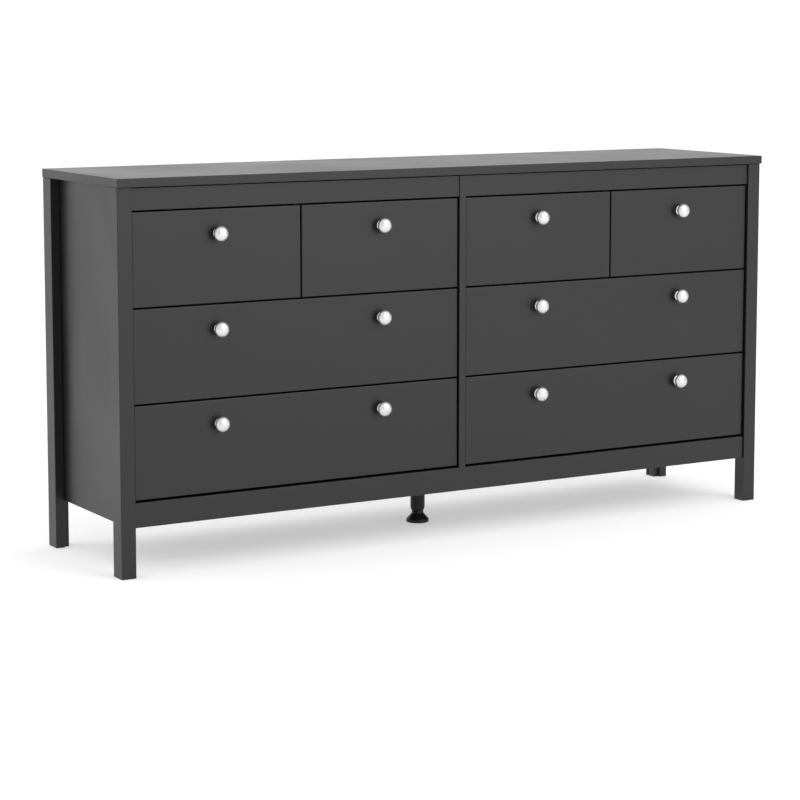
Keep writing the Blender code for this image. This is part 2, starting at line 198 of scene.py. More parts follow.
def add_group(name, inputs, outputs):
    """An empty shader node group with named sockets; each is (name, kind, starting value)."""
    group = bpy.data.node_groups.new(name, "ShaderNodeTree")
    for label, kind, start in inputs:
        socket = group.interface.new_socket(label, in_out="INPUT", socket_type=kind)
        if start is not None:
            socket.default_value = start
    for label, kind in outputs:
        group.interface.new_socket(label, in_out="OUTPUT", socket_type=kind)
    return group, group.nodes.new("NodeGroupInput"), group.nodes.new("NodeGroupOutput")


def add_math(tree, operation, first, second=None, third=None, clamp=False):
    """One Math node; each value is a socket to link or a plain number. Returns its output."""
    node = tree.nodes.new("ShaderNodeMath")
    node.operation = operation
    node.use_clamp = clamp
    for slot, value in enumerate((first, second, third)):
        if value is None:
            continue
        if isinstance(value, (int, float)):
            node.inputs[slot].default_value = value
        else:
            tree.links.new(value, node.inputs[slot])
    return node.outputs[0]


def add_noise(tree, vector, scale, detail=2.0, roughness=0.5):
    """One noise texture; scale may be a socket. Returns its value output."""
    node = tree.nodes.new("ShaderNodeTexNoise")
    node.inputs["Detail"].default_value = detail
    node.inputs["Roughness"].default_value = roughness
    if isinstance(scale, (int, float)):
        node.inputs["Scale"].default_value = scale
    else:
        tree.links.new(scale, node.inputs["Scale"])
    tree.links.new(vector, node.inputs["Vector"])
    return node.outputs["Fac"]


def add_mix(tree, factor, first, second):
    """One colour mix; returns its colour output."""
    node = tree.nodes.new("ShaderNodeMix")
    node.data_type = "RGBA"
    for label, value in (("Factor_Float", factor), ("A_Color", first), ("B_Color", second)):
        socket = next(s for s in node.inputs if s.identifier == label)
        if isinstance(value, (int, float)):
            socket.default_value = value
        elif isinstance(value, tuple):
            socket.default_value = (*value, 1.0)
        else:
            tree.links.new(value, socket)
    return next(s for s in node.outputs if s.identifier == "Result_Color")


FLOAT, COLOUR, VECTOR = "NodeSocketFloat", "NodeSocketColor", "NodeSocketVector"

# Foil grain: the fine pebble of matt foil, with slow changes of tone over a hand's breadth.
foil_grain, given, result = add_group(
    "foil_grain",
    [("Vector", VECTOR, None), ("Colour", COLOUR, (*FOIL_BLACK, 1.0)), ("Tone change", FLOAT, 0.12),
     ("Roughness", FLOAT, FOIL_ROUGHNESS), ("Pebble scale", FLOAT, 900.0)],
    [("Colour", COLOUR), ("Roughness", FLOAT), ("Height", FLOAT)],
)
spot = given.outputs["Vector"]
slow = add_noise(foil_grain, spot, scale=5.0, detail=3.0)
pebble = add_noise(foil_grain, spot, given.outputs["Pebble scale"], detail=3.0, roughness=0.6)
speck = add_noise(foil_grain, spot, scale=240.0, detail=4.0, roughness=0.7)
clouds = add_math(foil_grain, "SUBTRACT", slow, 0.5)
specks = add_math(foil_grain, "SUBTRACT", speck, 0.5)
both = add_math(foil_grain, "ADD", clouds, add_math(foil_grain, "MULTIPLY", specks, 0.6))
swing = add_math(foil_grain, "MULTIPLY_ADD", both, given.outputs["Tone change"], 1.0)
toned = foil_grain.nodes.new("ShaderNodeVectorMath")
toned.operation = "SCALE"
foil_grain.links.new(given.outputs["Colour"], toned.inputs[0])
foil_grain.links.new(swing, toned.inputs["Scale"])
foil_grain.links.new(toned.outputs[0], result.inputs["Colour"])
duller = add_math(foil_grain, "MULTIPLY_ADD", both, 0.16, given.outputs["Roughness"])
foil_grain.links.new(duller, result.inputs["Roughness"])
foil_grain.links.new(pebble, result.inputs["Height"])

# Edge rub and highlight: how much paler a rounded edge is painted, partly as finish rubbed pale by hands and
# cloths and partly as a painted highlight along the arris.
edge_rub_and_highlight, given, result = add_group(
    "edge_rub_and_highlight",
    [("Vector", VECTOR, None), ("Amount", FLOAT, 0.35), ("Patch scale", FLOAT, 18.0)],
    [("Mask", FLOAT)],
)
rounded = edge_rub_and_highlight.nodes.new("ShaderNodeAttribute")
rounded.attribute_name = "rounding"
patches = add_noise(
    edge_rub_and_highlight, given.outputs["Vector"], given.outputs["Patch scale"], detail=5.0, roughness=0.65
)
patchy = add_math(edge_rub_and_highlight, "MULTIPLY_ADD", patches, 2.2, -0.6, clamp=True)
# Only the rounded arrises are painted paler: partly rubbed wear, partly a painted highlight.
edge_patches = add_math(edge_rub_and_highlight, "MULTIPLY", patchy, rounded.outputs["Fac"])
rub_and_highlight_share = add_math(edge_rub_and_highlight, "MULTIPLY", edge_patches, given.outputs["Amount"])
edge_rub_and_highlight.links.new(rub_and_highlight_share, result.inputs["Mask"])

# House dust: a thin film that lies on faces that look up.
house_dust, given, result = add_group(
    "house_dust",
    [("Vector", VECTOR, None), ("Facing", VECTOR, None), ("Amount", FLOAT, 0.1)],
    [("Mask", FLOAT)],
)
upward = house_dust.nodes.new("ShaderNodeSeparateXYZ")
house_dust.links.new(given.outputs["Facing"], upward.inputs[0])
level = add_math(house_dust, "MULTIPLY_ADD", upward.outputs["Z"], 2.0, -1.0, clamp=True)
film = add_noise(house_dust, given.outputs["Vector"], scale=9.0, detail=6.0, roughness=0.7)
uneven = add_math(house_dust, "MULTIPLY_ADD", film, 1.6, -0.3, clamp=True)
lying = add_math(house_dust, "MULTIPLY", uneven, level)
dusted = add_math(house_dust, "MULTIPLY", lying, given.outputs["Amount"])
house_dust.links.new(dusted, result.inputs["Mask"])


def place_group(tree, group, **values):
    """A node group placed in a material, with its own values or links by socket name."""
    node = tree.nodes.new("ShaderNodeGroup")
    node.node_tree = group
    for label, value in values.items():
        socket = node.inputs[label.replace("_", " ")]
        if isinstance(value, (int, float)):
            socket.default_value = value
        elif isinstance(value, tuple):
            socket.default_value = (*value, 1.0)
        else:
            tree.links.new(value, socket)
    return node


def add_bump(nodes, links, shader, height, strength, distance):
    """Raises a shader's surface by a height output, over a distance in metres."""
    dent = nodes.new("ShaderNodeBump")
    dent.inputs["Strength"].default_value = strength
    dent.inputs["Distance"].default_value = distance
    links.new(height, dent.inputs["Height"])
    links.new(dent.outputs["Normal"], shader.inputs["Normal"])


def foil_finish(
    name, colour, roughness, tone_change=0.12, rub_and_highlight=0.3, dust=0.03, rubbed_colour=None, bump=0.3, specular=0.5
):
    """Matt foil or paint on board: pebble, slow tone, pale edges that are partly rubbed wear and partly a
    painted highlight, and a little dust.
    """
    material, nodes, links, shader = new_material(name, colour, roughness, specular=specular)
    tree = material.node_tree
    coords = nodes.new("ShaderNodeTexCoord")
    spot = coords.outputs["Object"]
    grain = place_group(
        tree, foil_grain, Vector=spot, Colour=colour, Tone_change=tone_change, Roughness=roughness
    )
    rub_and_highlight_node = place_group(tree, edge_rub_and_highlight, Vector=spot, Amount=rub_and_highlight)
    dusting = place_group(tree, house_dust, Vector=spot, Facing=coords.outputs["Normal"], Amount=dust)
    # The rounded edges are painted paler here: partly rubbed wear, partly a painted highlight.
    pale = rubbed_colour or tuple(min(1.0, c * 3.0 + 0.02) for c in colour)
    base = add_mix(tree, rub_and_highlight_node.outputs["Mask"], grain.outputs["Colour"], pale)
    base = add_mix(tree, dusting.outputs["Mask"], base, DUST_GREY)
    links.new(base, shader.inputs["Base Color"])
    rough = add_math(
        tree, "MULTIPLY_ADD", dusting.outputs["Mask"], 0.5, grain.outputs["Roughness"], clamp=True
    )
    links.new(rough, shader.inputs["Roughness"])
    add_bump(nodes, links, shader, grain.outputs["Height"], bump, 0.2 * MM)
    return material


# The foil's arrises get the pale edge, which is partly rubbed wear and partly a painted highlight.
black_foil = foil_finish("black_foil", FOIL_BLACK, FOIL_ROUGHNESS)


def block(name, low, high):
    """A cube primitive between two corners, with its place put into its mesh."""
    clear_selection()
    centre = [(a + b) / 2 for a, b in zip(low, high)]
    bpy.ops.mesh.primitive_cube_add(size=1.0, location=centre)
    piece = bpy.context.object
    piece.name = piece.data.name = name
    piece.scale = [b - a for a, b in zip(low, high)]
    bpy.ops.object.transform_apply(location=True, rotation=True, scale=True)
    return piece


def pick(piece):
    """Selects one piece alone and makes it active."""
    clear_selection()
    piece.select_set(True)
    bpy.context.view_layer.objects.active = piece


def apply_modifier(piece, modifier):
    """Makes one modifier's result the piece's own mesh."""
    pick(piece)
    bpy.ops.object.modifier_apply(modifier=modifier.name)


def carve(piece, low, high):
    """Takes a box-shaped housing, groove or rebate out of a piece."""
    cutter = block(piece.name + "_cutter", low, high)
    boolean = piece.modifiers.new("housing", "BOOLEAN")
    boolean.operation = "DIFFERENCE"
    boolean.solver = "EXACT"
    boolean.object = cutter
    apply_modifier(piece, boolean)
    bpy.data.objects.remove(cutter)


def mark_rounding(piece):
    """Sets the attribute that the edge rub and painted highlight read: 1 on arrises, 0 wherever a face lies
    square.
    """
    mesh = piece.data
    square = set()
    for polygon in mesh.polygons:
        if max(abs(value) for value in polygon.normal) > SQUARE:
            square.update(polygon.vertices)
    mark = mesh.attributes.new("rounding", "FLOAT", "POINT")
    values = [0.0 if vertex.index in square else 1.0 for vertex in mesh.vertices]
    mark.data.foreach_set("value", values)


def round_edges(piece, width, segments=3):
    """Rounds a piece's arrises, keeps its faces flat, and marks the rounding for the edge rub and painted
    highlight.
    """
    for polygon in piece.data.polygons:
        polygon.use_smooth = True
    bevel = piece.modifiers.new("rounding", "BEVEL")
    bevel.width = width
    bevel.segments = segments
    bevel.limit_method = "ANGLE"
    bevel.angle_limit = math.radians(ROUNDING_ANGLE)
    bevel.harden_normals = True
    apply_modifier(piece, bevel)
    mark_rounding(piece)


def stand_for(piece, node, material=None):
    """The piece takes a CAD node's place: it rides on that node's body and takes the given finish, if any.
    """
    if material is not None:
        piece.data.materials.clear()
        piece.data.materials.append(material)
    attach(piece, frame["nodes"][node]["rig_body"])
    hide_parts(node)


for side, side_name in ((-1, "left"), (1, "right")):
    for end_name in ("front", "rear"):
        node = f"leg_{end_name}_{side_name}"
        low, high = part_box(node)
        post = block(f"{side_name}_{end_name}_post", low, high)
        outer, inner = (low.x, high.x) if side < 0 else (high.x, low.x)
        panel_face = outer - side * SIDE_RECESS
        past = inner - side * OVERCUT
        x_low, x_high = sorted((panel_face, past))
        if end_name == "front":
            y_low, y_high = high.y - REBATE_DEPTH, high.y + OVERCUT
        else:
            y_low, y_high = low.y - OVERCUT, low.y + REBATE_DEPTH
        carve(post, (x_low, y_low, -OVERCUT), (x_high, y_high, high.z + OVERCUT))
        if end_name == "rear":
            back_low, back_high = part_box(f"back_panel_{side_name}")
            x_low, x_high = sorted((inner + side * BACK_GROOVE, past))
            carve(
                post,
                (x_low, back_low.y - GROOVE_GAP, -OVERCUT),
                (x_high, back_high.y + GROOVE_GAP, high.z + OVERCUT),
            )
        round_edges(post, LEG_ROUNDING)
        stand_for(post, node, black_foil)

# ---------------------------------------------------------------- side panels
# Two thin foiled boards, each between a front and a rear leg and seated in their rebates. They
# reach from the top down to the level of the bottom rails' lower edges.
SIDE_ROUNDING = 0.5 * MM

for side_name in ("left", "right"):
    node = f"side_panel_{side_name}"
    low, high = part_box(node)
    panel = block(f"{side_name}_side_board", low, high)
    round_edges(panel, SIDE_ROUNDING, 2)
    stand_for(panel, node, black_foil)

# ---------------------------------------------------------------- centre partition
# One upright foiled board between the bays. It is notched over the rails, stands on the
# cabinet floor, and its banded front edge is just behind the legs' faces.
NOTCH_GAP = 0.3 * MM
TOP_SEAM = 1.6 * MM          # shadow line left between the top and the boards under it
BOARD_ROUNDING = 0.8 * MM

low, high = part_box("center_partition")
rail_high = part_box("bottom_rail_front")[1]
rear_low, rear_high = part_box("bottom_rail_rear")
rear_top_low, rear_top_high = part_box("top_rail_rear")
high.z -= TOP_SEAM
partition = block("middle_partition", low, high)
notches = (
    (low.y - OVERCUT, rail_high.y + NOTCH_GAP, low.z - OVERCUT, rail_high.z + NOTCH_GAP),
    (rear_low.y - NOTCH_GAP, high.y + OVERCUT, low.z - OVERCUT, rear_high.z + NOTCH_GAP),
    (rear_top_low.y - NOTCH_GAP, high.y + OVERCUT, rear_top_low.z - NOTCH_GAP, high.z + OVERCUT),
)
for y_low, y_high, z_low, z_high in notches:
    carve(partition, (low.x - OVERCUT, y_low, z_low), (high.x + OVERCUT, y_high, z_high))
round_edges(partition, BOARD_ROUNDING)
stand_for(partition, "center_partition", black_foil)

# ---------------------------------------------------------------- rails
# Foiled boards screwed between the legs: one top rail for each bay, a bottom rail across the
# whole front, two rear rails, and between the bottom ones a floor for the partition to stand on.
for node, name in (
    ("top_rail_left", "left_top_rail"),
    ("top_rail_right", "right_top_rail"),
    ("bottom_rail_front", "front_bottom_rail"),
    ("bottom_rail_rear", "rear_bottom_rail"),
    ("top_rail_rear", "rear_top_rail"),
    ("bottom_panel", "cabinet_floor"),
):
    low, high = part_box(node)
    if node.startswith("top_rail"):
        high.z -= TOP_SEAM
    rail = block(name, low, high)
    round_edges(rail, BOARD_ROUNDING)
    stand_for(rail, node, black_foil)

# ---------------------------------------------------------------- shelves and dividers
# A foiled shelf under each pair of small drawers, fixed between the legs and the partition,
# and the upright board that stands on it and parts the drawers.
INNER_ROUNDING = 0.6 * MM

for side_name in ("left", "right"):
    for kind, word in (("divider_shelf", "shelf"), ("divider", "upright")):
        node = f"{kind}_{side_name}"
        low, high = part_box(node)
        inner_board = block(f"{side_name}_{word}", low, high)
        round_edges(inner_board, INNER_ROUNDING, 2)
        stand_for(inner_board, node, black_foil)

# ---------------------------------------------------------------- backs
# Two sheets of thin hardboard, slid into grooves in the rear legs and nailed to the rails.
# A flat plastic strip covers the joint behind the partition.
STRIP_WIDTH = 26 * MM
STRIP_THICKNESS = 1.6 * MM
STRIP_DROP = 2 * MM          # from the sheets' upper edges to the strip's
STRIP_ROUNDING = 0.5 * MM
SHEET_ROUNDING = 0.4 * MM
NAIL_RADIUS = 2.6 * MM
NAIL_RISE = 0.7 * MM
NAIL_PITCH = 118 * MM
FIRST_NAIL = 40 * MM         # from the middle of the dresser
LAST_NAIL = 24 * MM          # from a sheet's outer edge
BOARD_BROWN = (0.06, 0.05, 0.042)
FIBRE_DARK = (0.022, 0.018, 0.015)
FIBRE_PALE = (0.080, 0.062, 0.047)
CLOUD_BROWN = (0.038, 0.033, 0.029)

hardboard, nodes, links, shader = new_material("back_hardboard", BOARD_BROWN, 0.72)
tree = hardboard.node_tree
coords = nodes.new("ShaderNodeTexCoord")
stretch = nodes.new("ShaderNodeMapping")
stretch.inputs["Scale"].default_value = (1.0, 1.0, 0.35)
links.new(coords.outputs["Object"], stretch.inputs["Vector"])
fibres = add_noise(tree, stretch.outputs["Vector"], scale=420.0, detail=8.0, roughness=0.75)
clouds = add_noise(tree, coords.outputs["Object"], scale=14.0, detail=4.0)
fibre_tone = add_math(tree, "MULTIPLY_ADD", fibres, 1.8, -0.4, clamp=True)
fibre_colour = add_mix(tree, fibre_tone, FIBRE_DARK, FIBRE_PALE)
cloud_tone = add_math(tree, "MULTIPLY_ADD", clouds, 1.2, -0.3, clamp=True)
links.new(add_mix(tree, cloud_tone, fibre_colour, CLOUD_BROWN), shader.inputs["Base Color"])
links.new(add_math(tree, "MULTIPLY_ADD", fibres, 0.2, 0.62), shader.inputs["Roughness"])
add_bump(nodes, links, shader, fibres, 0.35, 0.4 * MM)

for side_name in ("left", "right"):
    node = f"back_panel_{side_name}"
    low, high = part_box(node)
    sheet = block(f"{side_name}_back_sheet", low, high)
    round_edges(sheet, SHEET_ROUNDING, 2)
    stand_for(sheet, node, hardboard)


def copy_of(master, name, offset=(0.0, 0.0, 0.0)):
    """Another piece of the same shape, moved by offset, with a mesh of its own."""
    piece = bpy.data.objects.new(name, master.data.copy())
    piece.data.transform(Matrix.Translation(offset))
    piece.data.name = name
    scene.collection.objects.link(piece)
    return piece


def joined(name, pieces):
    """Several small pieces as one object."""
    clear_selection()
    for piece in pieces:
        piece.select_set(True)
    bpy.context.view_layer.objects.active = pieces[0]
    bpy.ops.object.join()
    pieces[0].name = pieces[0].data.name = name
    return pieces[0]


SMOOTH_ANGLE = 35            # degrees; flatter edges of turned pieces are shaded smooth


def lathe(name, profile, steps):
    """A turned piece about the Z axis: a disc, pushed up and resized from one ring to the next."""
    clear_selection()
    radius, height = profile[0]
    bpy.ops.mesh.primitive_circle_add(
        vertices=steps, radius=radius, fill_type="NGON", location=(0, 0, height)
    )
    piece = bpy.context.object
    piece.name = piece.data.name = name
    bpy.ops.object.transform_apply(location=True, rotation=True, scale=True)
    bpy.ops.object.mode_set(mode="EDIT")
    bpy.ops.mesh.select_all(action="SELECT")
    for next_radius, next_height in profile[1:]:
        rise = (0.0, 0.0, next_height - height)
        bpy.ops.mesh.extrude_region_move(TRANSFORM_OT_translate={"value": rise})
        share = next_radius / radius
        bpy.ops.transform.resize(value=(share, share, 1.0), center_override=(0.0, 0.0, next_height))
        radius, height = next_radius, next_height
    bpy.ops.mesh.select_all(action="SELECT")
    bpy.ops.mesh.normals_make_consistent(inside=False)
    bpy.ops.object.mode_set(mode="OBJECT")
    bpy.ops.object.shade_smooth_by_angle(angle=math.radians(SMOOTH_ANGLE))
    return piece


def turn_and_place(piece, about, place):
    """Turns a finished piece by degrees about X, Y and Z, moves it, and puts both into its mesh."""
    pick(piece)
    piece.rotation_euler = [math.radians(value) for value in about]
    piece.location = place
    bpy.ops.object.transform_apply(location=True, rotation=True, scale=True)
    return piece


def arc(radius, rise, centre_height, start, end, steps):
    """Points of a profile's rounded part: an ellipse round the axis, from start to end degrees."""
    points = []
    for step in range(steps + 1):
        angle = math.radians(start + (end - start) * step / steps)
        points.append((radius * math.cos(angle), centre_height + rise * math.sin(angle)))
    return points


def metal_finish(name, colour, roughness, grain_scale, variation, bump):
    """Plated or cast metal: fine grain in the roughness, with slow smudges over it."""
    material, nodes, links, shader = new_material(name, colour, roughness, metallic=1.0)
    tree = material.node_tree
    coords = nodes.new("ShaderNodeTexCoord")
    spot = coords.outputs["Object"]
    grain = add_noise(tree, spot, grain_scale, detail=6.0, roughness=0.7)
    smudge = add_noise(tree, spot, scale=60.0, detail=3.0)
    mixed = add_math(tree, "ADD", grain, add_math(tree, "MULTIPLY", smudge, 0.7))
    middle = roughness - 0.85 * variation
    uneven = add_math(tree, "MULTIPLY_ADD", mixed, variation, middle, clamp=True)
    links.new(uneven, shader.inputs["Roughness"])
    darker = tuple(value * 0.86 for value in colour)
    links.new(add_mix(tree, smudge, colour, darker), shader.inputs["Base Color"])
    add_bump(nodes, links, shader, grain, bump, 0.1 * MM)
    return material


zinc = metal_finish("bright_zinc", (0.62, 0.62, 0.60), 0.34, grain_scale=700.0, variation=0.18, bump=0.05)

nail_profile = [(NAIL_RADIUS, -NAIL_RISE), *arc(NAIL_RADIUS, NAIL_RISE, 0.0, 8, 82, 4)]
nail_master = lathe("nail", nail_profile, 16)
turn_and_place(nail_master, (-90, 0, 0), (0, 0, 0))
back_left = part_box("back_panel_left")
back_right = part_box("back_panel_right")
rear_face = back_left[1].y
nail_rows = ((rear_low.z + rear_high.z) / 2, (rear_top_low.z + rear_top_high.z) / 2)
nails = []
for side, (low, high) in ((-1, back_left), (1, back_right)):
    run = max(abs(low.x), abs(high.x)) - LAST_NAIL - FIRST_NAIL
    count = round(run / NAIL_PITCH)
    for row in nail_rows:
        for step in range(count + 1):
            x = side * (FIRST_NAIL + run * step / count)
            nails.append(copy_of(nail_master, "nail_copy", (x, rear_face, row)))
bpy.data.objects.remove(nail_master)
nail_heads = joined("back_nails", nails)
nail_heads.data.materials.append(zinc)
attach(nail_heads, "cabinet")

plastic_black = foil_finish(
    "black_plastic",
    (0.006, 0.006, 0.0062),
    0.38,
    tone_change=0.2,
    rub_and_highlight=0.25,
    dust=0.04,
    bump=0.12,
    specular=0.3,
)
strip = block(
    "back_joint_strip",
    (-STRIP_WIDTH / 2, rear_face, back_left[0].z),
    (STRIP_WIDTH / 2, rear_face + STRIP_THICKNESS, back_left[1].z - STRIP_DROP),
)
round_edges(strip, STRIP_ROUNDING, 2)
strip.data.materials.append(plastic_black)
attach(strip, "cabinet")

# ---------------------------------------------------------------- top
# One slab of foiled board over everything, with a thin edge band set in between its two
# faces. It stands a little proud of the legs in front.
TOP_ROUNDING = 1.2 * MM
BAND_LIP = 0.9 * MM
BAND_SINK = 0.15 * MM
BAND_STEP = 0.1 * MM


def band_edges(piece):
    """Sinks the edge bands a hair below the foil of the two faces, on the board's narrow sides."""
    mesh = piece.data
    by_size = sorted(range(len(mesh.polygons)), key=lambda index: mesh.polygons[index].area)
    narrow_sides = by_size[-6:-2]
    pick(piece)
    bpy.ops.object.mode_set(mode="EDIT")
    bpy.ops.mesh.select_mode(type="FACE")
    bpy.ops.mesh.select_all(action="DESELECT")
    bpy.ops.object.mode_set(mode="OBJECT")
    for index in narrow_sides:
        mesh.polygons[index].select = True
    bpy.ops.object.mode_set(mode="EDIT")
    bpy.ops.mesh.inset(thickness=BAND_LIP, depth=0.0, use_individual=True)
    bpy.ops.mesh.inset(thickness=BAND_STEP, depth=-BAND_SINK, use_individual=True)
    bpy.ops.mesh.select_all(action="DESELECT")
    bpy.ops.object.mode_set(mode="OBJECT")


low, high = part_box("top_panel")
slab = block("top_slab", low, high)
round_edges(slab, TOP_ROUNDING)
band_edges(slab)
stand_for(slab, "top_panel", black_foil)

# ---------------------------------------------------------------- middle support
# A moulded black tube, screwed by its flange under the cabinet floor, and the flared foot
# whose stem turns in it to meet the floor. The foot's rim is fluted for the fingers.
tube_low, tube_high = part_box("support_tube")
foot_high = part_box("support_foot")[1]
middle = ((tube_low.x + tube_high.x) / 2, (tube_low.y + tube_high.y) / 2)
top_z, end_z = tube_high.z, tube_low.z
TUBE_RADIUS = 16 * MM
TUBE_BORE = 13.5 * MM
TUBE_END_RADIUS = 14.3 * MM
TUBE_TAPER = 6 * MM
BORE_STOP = 12 * MM          # solid length above the bore, flange included
FLANGE_RADIUS = tube_high.x - middle[0]
FLANGE_THICKNESS = 3 * MM
FLANGE_FILLET = 4 * MM
STEM_RADIUS = 13.0 * MM
FOOT_RADIUS = foot_high.x - middle[0]
FOOT_HEIGHT = 20 * MM
FLUTES = 18
FLUTE_SHARE = 0.95           # a flute's radius as a share of the rim's
RIM_BAND = 1.7 * MM          # how far in from the rim the flutes are cut
SCREW_SHANK = 1.7 * MM
SCREW_HEAD = 3.6 * MM
SCREW_SLOT = (2.3 * MM, 0.35 * MM)
FLANGE_SCREWS = 4
FLANGE_SCREW_CIRCLE = 24 * MM

under_flange = top_z - FLANGE_THICKNESS
flange_root = []
for degrees in (20, 45, 70, 90):
    out = FLANGE_FILLET * (1 - math.sin(math.radians(degrees)))
    down = FLANGE_FILLET * (1 - math.cos(math.radians(degrees)))
    flange_root.append((TUBE_RADIUS + out, under_flange - down))
tube_profile = [
    (FLANGE_RADIUS - 0.6 * MM, top_z),
    (FLANGE_RADIUS, top_z - 0.6 * MM),
    (FLANGE_RADIUS, under_flange + 0.8 * MM),
    (FLANGE_RADIUS - 0.8 * MM, under_flange),
    *flange_root,
    (TUBE_RADIUS, end_z + TUBE_TAPER + 1 * MM),
    (TUBE_RADIUS - 0.3 * MM, end_z + TUBE_TAPER - 0.6 * MM),
    (TUBE_END_RADIUS, end_z + 0.3 * MM),
    (TUBE_END_RADIUS - 0.3 * MM, end_z),
    (TUBE_BORE + 0.2 * MM, end_z),
    (TUBE_BORE, end_z + 0.6 * MM),
    (TUBE_BORE, top_z - BORE_STOP),
]
tube = lathe("support_sleeve", tube_profile, 56)
turn_and_place(tube, (0, 0, 0), (middle[0], middle[1], 0.0))
stand_for(tube, "support_tube", plastic_black)

foot_profile = [
    (FOOT_RADIUS - 1.6 * MM, 0.0),
    (FOOT_RADIUS - 0.4 * MM, 0.7 * MM),
    (FOOT_RADIUS, 1.9 * MM),
    (FOOT_RADIUS, 5.2 * MM),
    (FOOT_RADIUS - 0.4 * MM, 6.8 * MM),
    (FOOT_RADIUS - 1.5 * MM, 8.4 * MM),
    (FOOT_RADIUS - 5.0 * MM, 12.6 * MM),
    (STEM_RADIUS + 3.2 * MM, 16.6 * MM),
    (STEM_RADIUS + 0.9 * MM, 19.2 * MM),
    (STEM_RADIUS, FOOT_HEIGHT + 1.0 * MM),
    (STEM_RADIUS, FOOT_HEIGHT + 5.0 * MM),
    (STEM_RADIUS - 0.7 * MM, FOOT_HEIGHT + 6.0 * MM),
    (STEM_RADIUS - 0.7 * MM, foot_high.z - 1 * MM),
    (STEM_RADIUS - 1.7 * MM, foot_high.z),
]
foot = lathe("levelling_foot", foot_profile, FLUTES * 4)
bpy.ops.object.mode_set(mode="EDIT")
bpy.ops.mesh.select_mode(type="VERT")
bpy.ops.mesh.select_all(action="DESELECT")
bpy.ops.object.mode_set(mode="OBJECT")
for vertex in foot.data.vertices:
    turn = math.degrees(math.atan2(vertex.co.y, vertex.co.x)) * FLUTES % 360
    vertex.select = vertex.co.xy.length > FOOT_RADIUS - RIM_BAND and 135 < turn < 225
bpy.ops.object.mode_set(mode="EDIT")
bpy.ops.transform.resize(value=(FLUTE_SHARE, FLUTE_SHARE, 1.0), center_override=(0.0, 0.0, 0.0))
bpy.ops.object.mode_set(mode="OBJECT")
turn_and_place(foot, (0, 0, 0), (middle[0], middle[1], 0.0))
stand_for(foot, "support_foot", plastic_black)

screw_profile = [
    (SCREW_SHANK, -1.0 * MM),
    (SCREW_SHANK, 0.0),
    (SCREW_HEAD, 0.05 * MM),
    (SCREW_HEAD, 0.7 * MM),
    *arc(SCREW_HEAD, 1.6 * MM, 0.7 * MM, 20, 75, 3),
]
screw_master = lathe("pan_screw", screw_profile, 20)
for long, wide in (SCREW_SLOT, SCREW_SLOT[::-1]):
    carve(screw_master, (-long, -wide, 1.5 * MM), (long, wide, 3.0 * MM))
screw_master.data.materials.append(zinc)
flange_screws = []
for step in range(FLANGE_SCREWS):
    angle = math.radians(45 + 360 * step / FLANGE_SCREWS)
    x = middle[0] + FLANGE_SCREW_CIRCLE * math.cos(angle)
    y = middle[1] + FLANGE_SCREW_CIRCLE * math.sin(angle)
    flange_screw = copy_of(screw_master, "flange_screw")
    flange_screws.append(turn_and_place(flange_screw, (180, 0, 0), (x, y, under_flange)))
flange_set = joined("support_screws", flange_screws)
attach(flange_set, "cabinet")

# ---------------------------------------------------------------- drawer boxes
# Each drawer is a foiled front, a wrap of two sides and a back folded from one grey foiled
# board, and a thin hardboard bottom in grooves all round. Cast cam locks hold the front on.
FRONT_ROUNDING = 1.3 * MM
WRAP_ROUNDING = 0.9 * MM
WRAP_THICKNESS = 12 * MM
CAM_RADIUS = 7.5 * MM
CAM_RISE = 0.5 * MM
CAM_SLOT = (4.6 * MM, 0.7 * MM)
CAM_SETBACK = 24 * MM        # from the front end of the wrap to the cams' middles
CAM_HEIGHTS = (44 * MM, 92 * MM)
WRAP_GREY = (0.105, 0.105, 0.108)
BOTTOM_GREY = (0.14, 0.14, 0.143)

wrap_foil = foil_finish("grey_wrap_foil", WRAP_GREY, 0.5, tone_change=0.25, rub_and_highlight=0.35, dust=0.05)
bottom_paint = foil_finish(
    "grey_bottom_paint", BOTTOM_GREY, 0.6, tone_change=0.35, rub_and_highlight=0.2, dust=0.10, bump=0.1
)

cam_zinc = metal_finish("cast_zinc", (0.42, 0.42, 0.41), 0.46, grain_scale=500.0, variation=0.2, bump=0.12)
cam_profile = [
    (CAM_RADIUS, -1.0 * MM),
    (CAM_RADIUS, 0.2 * MM),
    (CAM_RADIUS - 0.5 * MM, CAM_RISE),
    (3.0 * MM, CAM_RISE),
    (2.6 * MM, 0.3 * MM),
]
cam_master = lathe("cam_lock", cam_profile, 32)
for long, wide in (CAM_SLOT, CAM_SLOT[::-1]):
    carve(cam_master, (-long, -wide, -0.5 * MM), (long, wide, 2.0 * MM))
cam_master.data.materials.append(cam_zinc)

